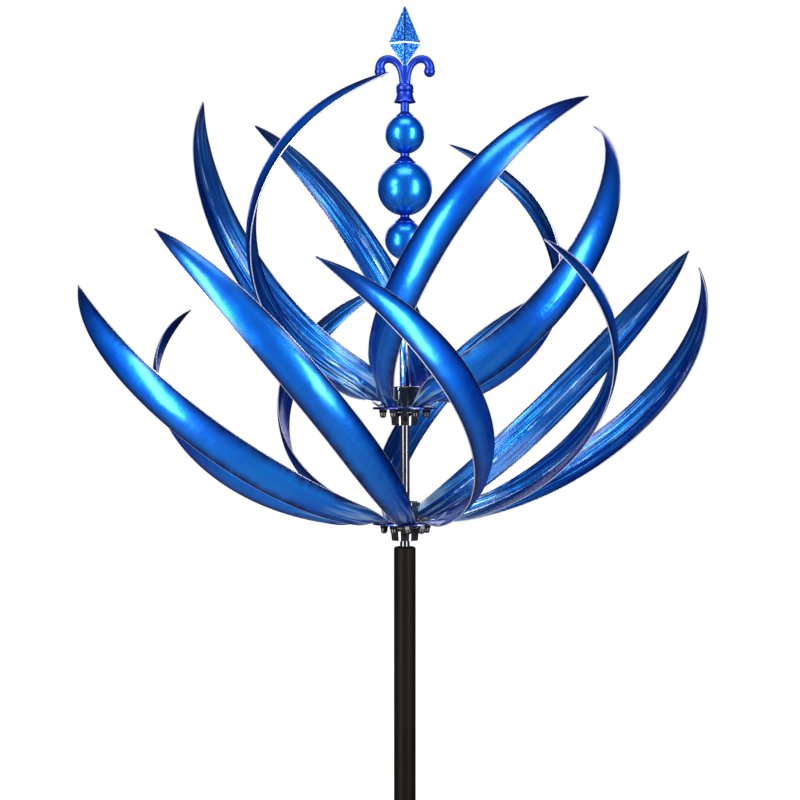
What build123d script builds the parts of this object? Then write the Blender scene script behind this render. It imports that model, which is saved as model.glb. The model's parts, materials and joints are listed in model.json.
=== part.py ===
from build123d import *
import os
from math import comb, cos, radians, sin, sqrt

# Garden wind sculpture: two coaxial bladed rotors that turn opposite ways on one rod, above a pole and a
# ground fork.  Millimetres.  Origin on the pole's axis at the ground line, +Z up, front towards -Y.

# ---- heights above the ground line -------------------------------------------------------------------
STEP_BAR_THICK = 5.0
POLE_SECTION = 234.0
SECTION_COUNT = 3
CAP_FLANGE = 3.0
PLATE_ABOVE_POLE = 20.0
POLE_TOP_Z = STEP_BAR_THICK + SECTION_COUNT * POLE_SECTION + CAP_FLANGE
LOWER_PLATE_Z = POLE_TOP_Z + PLATE_ABOVE_POLE
ROTOR_SPACING = 95.0
UPPER_PLATE_Z = LOWER_PLATE_Z + ROTOR_SPACING

# ---- ground fork and pole ----------------------------------------------------------------------------
PRONG_R = 4.0
PRONG_DEPTH = 150.0
PRONG_POINT = 18.0
PRONG_TIP_R = 0.8
PRONG_OFFSET = 35.0
STEP_BAR_LENGTH = 110.0
STEP_BAR_WIDTH = 22.0
STEP_BAR_ROUND = 1.2
TUBE_R = 9.0
TUBE_WALL = 1.2
TUBE_BORE_R = TUBE_R - TUBE_WALL
SPIGOT_GAP = 0.1
SPIGOT_R = TUBE_BORE_R - SPIGOT_GAP
SPIGOT_BORE_R = SPIGOT_R - TUBE_WALL
SPIGOT_LENGTH = 35.0
SHOULDER = 3.0
STEM_LENGTH = 60.0
LOCK_HEIGHT = 18.0
LOCK_SHANK_R = 2.0
LOCK_HOLE_R = 2.1
LOCK_LENGTH = 7.0
LOCK_HEAD_R = 4.0
LOCK_HEAD = 2.6
CAP_PLUG = 45.0
CAP_ROUND = 2.0

# ---- rod ---------------------------------------------------------------------------------------------
ROD_R = 4.0
ROD_TOP_R = 3.0
SLIP = 0.05
ROD_BELOW_CAP = 5.0
ROD_BOTTOM_Z = POLE_TOP_Z - CAP_PLUG - ROD_BELOW_CAP
SHOULDER_ABOVE_PLATE = 18.0
ROD_BELOW_COLLAR_TOP = 2.0

# ---- hub: heights are measured from the top face of its blade plate ------------------------------------
PLATE_THICK = 2.0
PLATE_R = 26.5
PLATE_ROUND = 0.6
HUB_R = 11.0
HUB_LIP_R = 12.2
HUB_BOTTOM = -4.0
HUB_TOP = 13.0
HUB_CAP_R = 12.5
HUB_CAP_THICK = 4.0
HUB_CAP_ROUND = 1.0
HUB_CAP_BORE_R = 4.6
HUB_CAP_SPIGOT = 1.0
BEARING_OUTER_R = 8.0
BEARING_WIDTH = 5.0
BEARING_LAND_R = 6.5
BEARING_RACE_IN_R = 5.4
BEARING_RACE_OUT_R = 6.9
BALL_R = 1.0
BALL_RING_R = 6.15
BALL_GROOVE_R = 1.06
BALL_COUNT = 9
TOP_BEARING = HUB_TOP - HUB_CAP_SPIGOT - BEARING_WIDTH
BEARING_SPACER_R = 5.2

# ---- collar under each hub -----------------------------------------------------------------------------
WASHER_R = 6.4
WASHER_THICK = 1.0
COLLAR_TOP_R = 11.8
COLLAR_BOTTOM_R = 10.8
COLLAR_HEIGHT = 10.0
SET_SCREW_R = 2.5
SET_SCREW_LENGTH = 6.6
SET_SCREW_HEX = 1.3
SET_SCREW_HEX_DEPTH = 2.5
THREAD_GAP = 0.06

# ---- blade screws ----------------------------------------------------------------------------------------
SCREW_CIRCLE_R = 18.0
SCREW_R = 1.5
SCREW_HOLE_R = 1.6
SCREW_HEAD_R = 2.6
SCREW_HEAD = 2.0
SCREW_LENGTH = 8.0
NUT_ACROSS_FLATS = 5.6
NUT_HEX = 2.8
NUT_DOME_R = 2.6
NUT_DOME = 4.2
NUT_DOME_ROUND = 2.0
NUT_HOLE = 5.3
NUT_BORE_R = 1.55

# ---- finial stack: heights from the upper plate ------------------------------------------------------------
BALL_WALL = 1.2
# a ball is its centre's height and its radius; a spacer is its rim radius, then its waist's rise and radius
BALL_BOTTOM = (138.0, 16.4)
BALL_MIDDLE = (180.5, 22.5)
BALL_TOP = (225.2, 16.3)
SPACER_BOTTOM = (8.4, 2.6, 3.8)
SPACER_MIDDLE = (9.2, 4.2, 3.8)
SPACER_TOP = (7.2, 2.4, 3.6)
SLEEVE_R = 4.3
STACK_BORE_R = ROD_TOP_R + SLIP
RIM_THICK = 0.6
BALL_GAP = 0.02
COLLAR_FOOT = 251.5
COLLAR_TOP = 266.5
FLARE_R = 9.0
COLLAR_NECK_R = 6.6
COLLAR_RING = (7.6, 260.2)
COLLAR_CURVE_Z = 255.6
BEAD_R = 7.2
BEAD_TOP_R = 5.6
BEAD_FOOT = 261.0
STEM_HALF_WIDTH = 4.6
STEM_HALF_DEPTH = 2.9
STEM_TOP = 281.5
TANG_R = 1.5
TANG_LENGTH = 8.0
SCROLL_STEPS = 14
SCROLL_RADII = [2.6, 2.8, 3.2, 3.2, 4.3]
SCROLL_CURVE = [(2.2, 0, 269), (2.2, 0, 277), (3.4, 0, 288.5), (14, 0, 291), (22.5, 0, 288), (20.4, 0, 277)]
SCROLL_END_R = 4.7
SPEAR_FOOT = 283.0
SPEAR_WAIST = 299.6
SPEAR_GROOVE = 1.4
SPEAR_TIP = 330.5
SPEAR_HALF_WIDTH = 12.9
SPEAR_HALF_DEPTH = 7.0
GROOVE_INSET = 0.8
TIP_SHARE = 0.05
FOOT_SHARE = 0.1
ROD_TOP_Z = UPPER_PLATE_Z + COLLAR_TOP - ROD_BELOW_COLLAR_TOP

# ---- blades ------------------------------------------------------------------------------------------------
# A blade's centre line is one Bezier curve from the bend at the plate to the tip, given by its control
# points as (outward, along the sweep, up).  The sheet is curled across its width, creased down its middle
# and tilted by `tilt` about the centre line, plus the four `twist` values, which are Bezier too.
BLADE_THICK = 1.0
TAB_START = 13.6
BEND_R = 21.5
ROOT_SHARE = 0.12
CREASE = 0.88
TIP_HALF_WIDTH = 0.9
ROOT_ARCH = 0.15
ROOT_LIFT = 0.3
STATIONS = [0, 0.035, 0.08, 0.13, 0.19, 0.27, 0.36, 0.46, 0.57, 0.68, 0.78, 0.86, 0.92, 0.965, 1]

UPPER = {
    "name": "upper",
    "plate_z": UPPER_PLATE_Z,
    "sweep": 1,
    "count": 6,
    "first_angle": -1.6,
    "curve": [
        (BEND_R, 0, ROOT_LIFT), (67.5, 9.5, 34.5), (145, 52, 34.5), (171.5, 132.5, 189.5), (19, 168.5, 244),
    ],
    "twist": [-4, 0, 7, 1],
    "tilt": 39.5,
    "tab_half_width": 6.0,
    "tab_inner_half_width": 6.0,
    "half_width": 16.4,
    "widest_at": 0.23,
    "taper": 3.45,
    "tip_round": 0.64,
    "curl": 5.5,
    # how each blade was bent by hand at the plate: degrees of turn, lift and roll
    "bends": [(1, -5, -1), (4.5, -2.5, 1), (-2, 2, -1), (-4, 5, 2), (0, 2, -1), (-0.5, -0.5, -1)],
}
LOWER = {
    "name": "lower",
    "plate_z": LOWER_PLATE_Z,
    "sweep": -1,
    "count": 9,
    "first_angle": -1.2,
    "curve": [
        (BEND_R, 0, ROOT_LIFT), (84.5, 20.5, 11.5), (176, 60.5, 46.5), (210.5, 160.5, 146.5), (115, 232, 208),
    ],
    "twist": [-6, -3, 8, 8],
    "tilt": 43.0,
    "tab_half_width": 5.5,
    "tab_inner_half_width": 4.5,
    "half_width": 15.0,
    "widest_at": 0.45,
    "taper": 3.55,
    "tip_round": 0.8,
    "curl": 3.7,
    "bends": [
        (-0.5, 4, 0), (7.5, 0, -2), (7.5, 4, 3), (0.5, -0.5, 0), (0, 1, 0),
        (0.5, -4, -4), (-5.5, 0, -3), (-3, 0.5, 5), (0, -2.5, -1),
    ],
}

STACK_PLANE = Plane((0, 0, UPPER_PLATE_Z), x_dir=(1, 0, 0), z_dir=(0, -1, 0))

os.makedirs("parts", exist_ok=True)


def bezier(points, s):
    """A point, or a number, on the Bezier curve with these control points."""
    last = len(points) - 1
    weights = [comb(last, i) * s**i * (1 - s) ** (last - i) for i in range(last + 1)]
    if isinstance(points[0], (int, float)):
        return sum(w * p for w, p in zip(weights, points))
    return Vector(*(sum(w * p[axis] for w, p in zip(weights, points)) for axis in range(3)))


def bezier_point_and_direction(points, s):
    """A point on the curve and the direction in which the curve leaves it."""
    last = len(points) - 1
    slopes = [tuple(last * (b - a) for a, b in zip(points[i], points[i + 1])) for i in range(last)]
    return bezier(points, s), bezier(slopes, s).normalized()


def smooth(x):
    """Rises from 0 to 1 without a corner."""
    x = min(max(x, 0.0), 1.0)
    return x * x * (3 - 2 * x)


def half_width(rotor, s):
    widest = rotor["half_width"]
    start = rotor["tab_half_width"]
    if s < rotor["widest_at"]:
        return start + (widest - start) * sin(radians(90 * s / rotor["widest_at"]))
    along = (s - rotor["widest_at"]) / (1 - rotor["widest_at"])
    return max(TIP_HALF_WIDTH, widest * max(1 - along ** rotor["taper"], 0) ** rotor["tip_round"])


def bend(vector, degrees_by_hand, share):
    """Turn a vector by a share of a blade's own turn, lift and roll."""
    turn, lift, roll = (angle * share for angle in degrees_by_hand)
    return vector.rotate(Axis.X, roll).rotate(Axis.Y, -lift).rotate(Axis.Z, turn)


def blade_frame(rotor, index, s):
    """Centre, direction and width direction of a blade at s, before its sweep sign."""
    bends = rotor["bends"][index]
    centre, along = bezier_point_and_direction(rotor["curve"], s)
    tilt = radians(rotor["tilt"])
    across = Vector(0, cos(tilt), -sin(tilt))
    across = (across - along * across.dot(along)).normalized()
    across = across.rotate(Axis((0, 0, 0), along), bezier(rotor["twist"], s))
    flat = Vector(-along.Y, along.X, 0).normalized()
    share = smooth(s / ROOT_SHARE)
    across = (flat * (1 - share) + across * share).normalized()
    root = Vector(BEND_R, 0, 0)
    centre = root + bend(centre - root, bends, share)
    return centre, bend(along, bends, share), bend(across, bends, share)


def section(rotor, index, s):
    """Cross-section of the sheet: two shallow arcs that meet in the crease, one sheet thickness deep."""
    sweep = rotor["sweep"]
    centre, along, across = (Vector(v.X, v.Y * sweep, v.Z) for v in blade_frame(rotor, index, s))
    half = half_width(rotor, s)
    share = smooth(s / ROOT_SHARE)
    curl = rotor["curl"] * half / rotor["half_width"] * share - ROOT_ARCH * (1 - share)
    outer = [(-half, 0), (-half / 2, -CREASE * curl), (0, -curl), (half / 2, -CREASE * curl), (half, 0)]
    outer = [(x, y * sweep) for x, y in outer]
    inner = [(x, y + sweep * BLADE_THICK) for x, y in outer]
    with BuildSketch(Plane(centre, x_dir=across, z_dir=along)) as face:
        with BuildLine():
            Bezier(outer[0], outer[1], outer[2])
            Bezier(outer[2], outer[3], outer[4])
            Line(outer[4], inner[4])
            Bezier(inner[4], inner[3], inner[2])
            Bezier(inner[2], inner[1], inner[0])
            Line(inner[0], outer[0])
        make_face()
    return face.sketch


def outline(*points, axis_at=(0, 0)):
    """A closed outline of (radius, height) points beside the upright axis through axis_at."""
    with BuildSketch(Plane((*axis_at, 0), x_dir=(1, 0, 0), z_dir=(0, -1, 0))) as face:
        with BuildLine():
            Polyline(*points, close=True)
        make_face()
    return face.sketch


def ring(inner_r, outer_r, low, high):
    """The outline of a plain ring or tube."""
    return outline((inner_r, low), (outer_r, low), (outer_r, high), (inner_r, high))


def export(node, name):
    node.part.label = name
    export_step(node.part, f"parts/{name}.step")


# ---- ground fork and pole ----------------------------------------------------------------------------
with BuildPart() as ground_prongs:
    for side in (-1, 1):
        foot = (side * PRONG_OFFSET, 0)
        prong = outline(
            (0, 0),
            (PRONG_R, 0),
            (PRONG_R, PRONG_POINT - PRONG_DEPTH),
            (PRONG_TIP_R, -PRONG_DEPTH),
            (0, -PRONG_DEPTH),
            axis_at=foot,
        )
        revolve(prong, axis=Axis((*foot, 0), (0, 0, 1)))
export(ground_prongs, "ground_prongs")

with BuildPart() as step_bar:
    with BuildSketch(Plane.XY):
        SlotOverall(STEP_BAR_LENGTH, STEP_BAR_WIDTH)
    extrude(amount=STEP_BAR_THICK)
    fillet(step_bar.faces().sort_by(Axis.Z)[-1].edges(), radius=STEP_BAR_ROUND)
export(step_bar, "step_bar")

with BuildPart() as stake_stem:
    revolve(ring(SPIGOT_BORE_R, SPIGOT_R, STEP_BAR_THICK, STEP_BAR_THICK + STEM_LENGTH), axis=Axis.Z)
    lock_z = STEP_BAR_THICK + LOCK_HEIGHT
    with Locations(Location((0, TUBE_R, lock_z), (90, 0, 0))):
        Cylinder(LOCK_HOLE_R, 2 * LOCK_LENGTH, mode=Mode.SUBTRACT)
export(stake_stem, "stake_stem")


def pole_tube(index):
    """One pole section.  All but the lowest end in a narrowed spigot that slides into the section below."""
    low = STEP_BAR_THICK + index * POLE_SECTION
    high = low + POLE_SECTION
    with BuildPart() as tube:
        if index == 0:
            revolve(ring(TUBE_BORE_R, TUBE_R, low, high), axis=Axis.Z)
        else:
            profile = outline(
                (SPIGOT_BORE_R, low - SPIGOT_LENGTH),
                (SPIGOT_R, low - SPIGOT_LENGTH),
                (SPIGOT_R, low),
                (TUBE_R, low),
                (TUBE_R, high),
                (TUBE_BORE_R, high),
                (TUBE_BORE_R, low + 2 * SHOULDER),
                (SPIGOT_BORE_R, low + SHOULDER),
            )
            revolve(profile, axis=Axis.Z)
            with Locations(Location((0, TUBE_R, low - LOCK_HEIGHT), (90, 0, 0))):
                Cylinder(LOCK_HOLE_R, 2 * LOCK_LENGTH, mode=Mode.SUBTRACT)
        if index == 0:
            with Locations(Location((0, TUBE_R, low + LOCK_HEIGHT), (90, 0, 0))):
                Cylinder(LOCK_HOLE_R, 2 * LOCK_LENGTH, mode=Mode.SUBTRACT)
        if index < SECTION_COUNT - 1:
            with Locations(Location((0, TUBE_R, high - LOCK_HEIGHT), (90, 0, 0))):
                Cylinder(LOCK_HOLE_R, 2 * LOCK_LENGTH, mode=Mode.SUBTRACT)
    return tube


for index, name in enumerate(["pole_lower", "pole_middle", "pole_upper"]):
    export(pole_tube(index), name)

with BuildPart() as pole_lock_screws:
    for index in range(SECTION_COUNT):
        height = STEP_BAR_THICK + (LOCK_HEIGHT if index == 0 else index * POLE_SECTION - LOCK_HEIGHT)
        with BuildSketch(Plane((0, TUBE_R + LOCK_HEAD, height), x_dir=(1, 0, 0), z_dir=(0, -1, 0))):
            RegularPolygon(LOCK_HEAD_R, 6)
        extrude(amount=LOCK_HEAD)
        with BuildSketch(Plane((0, TUBE_R, height), x_dir=(1, 0, 0), z_dir=(0, -1, 0))):
            Circle(LOCK_SHANK_R)
        extrude(amount=LOCK_LENGTH)
export(pole_lock_screws, "pole_lock_screws")

with BuildPart() as pole_cap:
    flange_z = POLE_TOP_Z - CAP_FLANGE
    revolve(ring(ROD_R + SLIP / 2, TUBE_R, flange_z, POLE_TOP_Z), axis=Axis.Z)
    top_edges = pole_cap.edges().filter_by(GeomType.CIRCLE).group_by(Axis.Z)[-1]
    fillet(top_edges.sort_by(SortBy.RADIUS)[-1], CAP_ROUND)
    revolve(ring(ROD_R + SLIP / 2, TUBE_BORE_R - SLIP, flange_z - CAP_PLUG, flange_z), axis=Axis.Z)
export(pole_cap, "pole_cap")

with BuildPart() as rod:
    shoulder_z = UPPER_PLATE_Z + SHOULDER_ABOVE_PLATE
    profile = outline(
        (0, ROD_BOTTOM_Z),
        (ROD_R, ROD_BOTTOM_Z),
        (ROD_R, shoulder_z),
        (ROD_TOP_R, shoulder_z),
        (ROD_TOP_R, ROD_TOP_Z),
        (0, ROD_TOP_Z),
    )
    revolve(profile, axis=Axis.Z)
export(rod, "rod")


# ---- finial stack ------------------------------------------------------------------------------------------
def sphere_height(ball, radius, up):
    """Height, above the upper plate, of a ball's surface at this radius, on its upper or lower half."""
    centre, ball_r = ball
    reach = sqrt((ball_r + BALL_GAP) ** 2 - radius**2)
    return centre + reach if up else centre - reach


def export_ball(ball, name):
    """A hollow ball with a hole through it for the rod."""
    centre, ball_r = ball
    inner_r = ball_r - BALL_WALL
    outer_end = sqrt(ball_r**2 - STACK_BORE_R**2)
    inner_end = sqrt(inner_r**2 - STACK_BORE_R**2)
    bore = STACK_BORE_R
    with BuildPart() as shell:
        with BuildSketch(STACK_PLANE):
            with BuildLine():
                ThreePointArc((bore, centre - outer_end), (ball_r, centre), (bore, centre + outer_end))
                Line((bore, centre + outer_end), (bore, centre + inner_end))
                ThreePointArc((bore, centre + inner_end), (inner_r, centre), (bore, centre - inner_end))
                Line((bore, centre - inner_end), (bore, centre - outer_end))
            make_face()
        revolve(axis=Axis.Z)
    export(shell, name)


def export_spacer(lower_ball, spacer_size, top_height, name):
    """A cone that sits on a ball and rises to a narrow waist, which carries what is above it."""
    rim_r, rise, waist_r = spacer_size
    foot = sphere_height(lower_ball, rim_r, True)
    arc_r = (rim_r + STACK_BORE_R) / 2
    foot_middle = sphere_height(lower_ball, arc_r, True)
    foot_end = sphere_height(lower_ball, STACK_BORE_R, True)
    waist = foot_end + rise
    with BuildPart() as spacer:
        with BuildSketch(STACK_PLANE):
            with BuildLine():
                ThreePointArc((rim_r, foot), (arc_r, foot_middle), (STACK_BORE_R, foot_end))
                Line((STACK_BORE_R, foot_end), (STACK_BORE_R, top_height))
                Line((STACK_BORE_R, top_height), (waist_r, top_height))
                Line((waist_r, top_height), (waist_r, waist))
                Line((waist_r, waist), (rim_r, foot + RIM_THICK))
                Line((rim_r, foot + RIM_THICK), (rim_r, foot))
            make_face()
        revolve(axis=Axis.Z)
    export(spacer, name)


with BuildPart() as spindle_sleeve:
    low = UPPER_PLATE_Z + SHOULDER_ABOVE_PLATE
    high = UPPER_PLATE_Z + sphere_height(BALL_BOTTOM, STACK_BORE_R, False)
    revolve(ring(STACK_BORE_R, SLEEVE_R, low, high), axis=Axis.Z)
export(spindle_sleeve, "spindle_sleeve")

export_ball(BALL_BOTTOM, "ball_bottom")
export_ball(BALL_MIDDLE, "ball_middle")
export_ball(BALL_TOP, "ball_top")
export_spacer(BALL_BOTTOM, SPACER_BOTTOM, sphere_height(BALL_MIDDLE, STACK_BORE_R, False), "spacer_bottom")
export_spacer(BALL_MIDDLE, SPACER_MIDDLE, sphere_height(BALL_TOP, STACK_BORE_R, False), "spacer_middle")
export_spacer(BALL_TOP, SPACER_TOP, COLLAR_FOOT, "spacer_top")

with BuildPart() as finial_collar:
    with BuildSketch(STACK_PLANE):
        with BuildLine():
            Polyline((FLARE_R, COLLAR_FOOT + RIM_THICK), (FLARE_R, COLLAR_FOOT), (STACK_BORE_R, COLLAR_FOOT))
            Line((STACK_BORE_R, COLLAR_FOOT), (STACK_BORE_R, COLLAR_TOP))
            Line((STACK_BORE_R, COLLAR_TOP), (BEAD_TOP_R, COLLAR_TOP))
            bead_middle = (BEAD_R, (BEAD_FOOT + COLLAR_TOP) / 2)
            ThreePointArc((BEAD_TOP_R, COLLAR_TOP), bead_middle, (COLLAR_NECK_R, BEAD_FOOT))
            Polyline((COLLAR_NECK_R, BEAD_FOOT), COLLAR_RING, (COLLAR_NECK_R, COLLAR_RING[1] - RIM_THICK))
            Bezier(
                (COLLAR_NECK_R, COLLAR_RING[1] - RIM_THICK),
                (COLLAR_NECK_R, COLLAR_CURVE_Z),
                (FLARE_R, COLLAR_FOOT + RIM_THICK),
            )
        make_face()
    revolve(axis=Axis.Z)
export(finial_collar, "finial_collar")


def scroll():
    """One scroll: a tube that swells along its curve and ends in a round knob."""
    rounds = []
    for step in range(SCROLL_STEPS + 1):
        share = step / SCROLL_STEPS
        spot, direction = bezier_point_and_direction(SCROLL_CURVE, share)
        spot = spot + Vector(0, 0, UPPER_PLATE_Z)
        with BuildSketch(Plane(spot, x_dir=(0, 1, 0), z_dir=direction)) as round_face:
            Circle(bezier(SCROLL_RADII, share))
        rounds.append(round_face.sketch)
    with BuildPart() as half:
        loft(sections=rounds, ruled=True)
        with Locations(spot):
            Sphere(SCROLL_END_R)
    return half.part


# The casting that carries the spear: an oval stem, drilled for the spear's tang, and a scroll on each side.
with BuildPart() as finial_scrolls:
    with BuildSketch(Plane.XY.offset(UPPER_PLATE_Z + COLLAR_TOP)):
        Ellipse(STEM_HALF_WIDTH, STEM_HALF_DEPTH)
    extrude(amount=STEM_TOP - COLLAR_TOP)
    add(scroll())
    add(scroll().mirror(Plane.YZ))
    with BuildSketch(Plane.XY.offset(UPPER_PLATE_Z + SPEAR_FOOT)):
        Circle(TANG_R + SLIP / 2)
    extrude(amount=-TANG_LENGTH, mode=Mode.SUBTRACT)
export(finial_scrolls, "finial_scrolls")


def rhombus(height, share, inset=0.0):
    """The spear's four-cornered section, scaled by share and drawn in by inset."""
    half_x = SPEAR_HALF_WIDTH * share - inset
    half_y = SPEAR_HALF_DEPTH * share - inset * SPEAR_HALF_DEPTH / SPEAR_HALF_WIDTH
    with BuildSketch(Plane.XY.offset(UPPER_PLATE_Z + height)) as face:
        with BuildLine():
            Polyline((half_x, 0), (0, half_y), (-half_x, 0), (0, -half_y), close=True)
        make_face()
    return face.sketch


with BuildPart() as finial_spear:
    with BuildSketch(Plane.XY.offset(UPPER_PLATE_Z + SPEAR_FOOT - TANG_LENGTH)):
        Circle(TANG_R)
    extrude(amount=TANG_LENGTH)
    loft(sections=[rhombus(SPEAR_FOOT, FOOT_SHARE), rhombus(SPEAR_WAIST, 1)], ruled=True)
    extrude(rhombus(SPEAR_WAIST, 1, GROOVE_INSET), amount=SPEAR_GROOVE)
    loft(sections=[rhombus(SPEAR_WAIST + SPEAR_GROOVE, 1), rhombus(SPEAR_TIP, TIP_SHARE)], ruled=True)
export(finial_spear, "finial_spear")


# ---- what stands still at each rotor -------------------------------------------------------------------
def fixed_at_hub(rotor):
    """The collar, its set screw, the washer and the inner bearing races, which all hold still on the rod."""
    name = rotor["name"]
    plate_z = rotor["plate_z"]
    washer_top = plate_z + HUB_BOTTOM
    collar_top = washer_top - WASHER_THICK
    screw_z = collar_top - COLLAR_HEIGHT / 2
    screw_plane = Plane((0, -ROD_R - SLIP, screw_z), x_dir=(1, 0, 0), z_dir=(0, -1, 0))

    with BuildPart() as collar:
        profile = outline(
            (ROD_R + SLIP / 2, collar_top - COLLAR_HEIGHT),
            (COLLAR_BOTTOM_R, collar_top - COLLAR_HEIGHT),
            (COLLAR_TOP_R, collar_top),
            (ROD_R + SLIP / 2, collar_top),
        )
        revolve(profile, axis=Axis.Z)
        with BuildSketch(screw_plane):
            Circle(SET_SCREW_R + THREAD_GAP)
        extrude(amount=COLLAR_TOP_R, mode=Mode.SUBTRACT)
    export(collar, f"{name}_collar")

    with BuildPart() as set_screw:
        with BuildSketch(screw_plane):
            Circle(SET_SCREW_R)
        extrude(amount=SET_SCREW_LENGTH)
        with BuildSketch(screw_plane.offset(SET_SCREW_LENGTH)):
            RegularPolygon(SET_SCREW_HEX, 6)
        extrude(amount=-SET_SCREW_HEX_DEPTH, mode=Mode.SUBTRACT)
    export(set_screw, f"{name}_set_screw")

    with BuildPart() as washer:
        revolve(ring(ROD_R + SLIP, WASHER_R, collar_top, washer_top), axis=Axis.Z)
    export(washer, f"{name}_thrust_washer")

    with BuildPart() as races:
        for low in (plate_z + HUB_BOTTOM, plate_z + TOP_BEARING):
            revolve(ring(ROD_R + SLIP / 2, BEARING_RACE_IN_R, low, low + BEARING_WIDTH), axis=Axis.Z)
            ball_groove(low + BEARING_WIDTH / 2)
    export(races, f"{name}_inner_races")

    with BuildPart() as spacer:
        low = washer_top + BEARING_WIDTH
        revolve(ring(ROD_R + SLIP, BEARING_SPACER_R, low, plate_z + TOP_BEARING), axis=Axis.Z)
    export(spacer, f"{name}_bearing_spacer")


def ball_groove(height):
    """Cut the round groove that the bearing's balls run in."""
    with BuildSketch(Plane.XZ) as groove:
        with Locations((BALL_RING_R, height)):
            Circle(BALL_GROOVE_R)
    revolve(groove.sketch, axis=Axis.Z, mode=Mode.SUBTRACT)


# ---- what turns with each rotor --------------------------------------------------------------------------
def turning_hub(rotor):
    """The hub, its cap, the blade plate, the outer races, the bearing balls and the blade screws and nuts."""
    name = rotor["name"]
    plate_z = rotor["plate_z"]
    angle = rotor["first_angle"]
    count = rotor["count"]
    bottom = plate_z + HUB_BOTTOM
    top = plate_z + HUB_TOP

    with BuildPart() as hub:
        profile = outline(
            (BEARING_OUTER_R, bottom),
            (HUB_LIP_R, bottom),
            (HUB_LIP_R, plate_z - PLATE_THICK),
            (HUB_R, plate_z - PLATE_THICK),
            (HUB_R, top),
            (BEARING_OUTER_R, top),
            (BEARING_OUTER_R, plate_z + TOP_BEARING),
            (BEARING_LAND_R, plate_z + TOP_BEARING),
            (BEARING_LAND_R, bottom + BEARING_WIDTH),
            (BEARING_OUTER_R, bottom + BEARING_WIDTH),
        )
        revolve(profile, axis=Axis.Z)
    export(hub, f"{name}_hub")

    with BuildPart() as hub_cap:
        profile = outline(
            (HUB_CAP_BORE_R, top - HUB_CAP_SPIGOT),
            (BEARING_OUTER_R - SLIP, top - HUB_CAP_SPIGOT),
            (BEARING_OUTER_R - SLIP, top),
            (HUB_CAP_R, top),
            (HUB_CAP_R, top + HUB_CAP_THICK),
            (HUB_CAP_BORE_R, top + HUB_CAP_THICK),
        )
        revolve(profile, axis=Axis.Z)
        rims = hub_cap.edges().filter_by(GeomType.CIRCLE).filter_by(lambda edge: edge.radius > HUB_R)
        fillet(rims, radius=HUB_CAP_ROUND)
    export(hub_cap, f"{name}_hub_cap")

    with BuildPart() as plate:
        revolve(ring(HUB_R + SLIP, PLATE_R, plate_z - PLATE_THICK, plate_z), axis=Axis.Z)
        rims = plate.edges().filter_by(GeomType.CIRCLE).filter_by(lambda edge: edge.radius > HUB_R + 1)
        fillet(rims, radius=PLATE_ROUND)
        with BuildSketch(Plane.XY.offset(plate_z)):
            with PolarLocations(SCREW_CIRCLE_R, count, start_angle=angle):
                Circle(SCREW_HOLE_R)
        extrude(amount=-PLATE_THICK, mode=Mode.SUBTRACT)
    export(plate, f"{name}_plate")

    with BuildPart() as races:
        outer_r = BEARING_OUTER_R - SLIP / 2
        for low in (plate_z + HUB_BOTTOM, plate_z + TOP_BEARING):
            revolve(ring(BEARING_RACE_OUT_R, outer_r, low, low + BEARING_WIDTH), axis=Axis.Z)
            ball_groove(low + BEARING_WIDTH / 2)
    export(races, f"{name}_outer_races")

    with BuildPart() as balls:
        for low in (HUB_BOTTOM, TOP_BEARING):
            with Locations((0, 0, plate_z + low + BEARING_WIDTH / 2)):
                with PolarLocations(BALL_RING_R, BALL_COUNT):
                    Sphere(BALL_R)
    export(balls, f"{name}_bearing_balls")

    with BuildPart() as screws:
        head_bottom = plate_z + BLADE_THICK
        with BuildSketch(Plane.XY.offset(head_bottom)):
            with PolarLocations(SCREW_CIRCLE_R, count, start_angle=angle):
                Circle(SCREW_HEAD_R)
        extrude(amount=SCREW_HEAD)
        fillet(screws.faces().group_by(Axis.Z)[-1].edges(), radius=SCREW_HEAD / 2)
        with BuildSketch(Plane.XY.offset(head_bottom)):
            with PolarLocations(SCREW_CIRCLE_R, count, start_angle=angle):
                Circle(SCREW_R)
        extrude(amount=-SCREW_LENGTH)
    export(screws, f"{name}_blade_screws")

    with BuildPart() as nuts:
        nut_top = plate_z - PLATE_THICK
        with BuildSketch(Plane.XY.offset(nut_top)):
            with PolarLocations(SCREW_CIRCLE_R, count, start_angle=angle):
                RegularPolygon(NUT_ACROSS_FLATS / 2, 6, major_radius=False)
        extrude(amount=-NUT_HEX)
        with BuildSketch(Plane.XY.offset(nut_top - NUT_HEX)):
            with PolarLocations(SCREW_CIRCLE_R, count, start_angle=angle):
                Circle(NUT_DOME_R)
        extrude(amount=-NUT_DOME)
        fillet(nuts.faces().group_by(Axis.Z)[0].edges(), radius=NUT_DOME_ROUND)
        with BuildSketch(Plane.XY.offset(nut_top)):
            with PolarLocations(SCREW_CIRCLE_R, count, start_angle=angle):
                Circle(NUT_BORE_R)
        extrude(amount=-NUT_HOLE, mode=Mode.SUBTRACT)
    export(nuts, f"{name}_cap_nuts")


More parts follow.
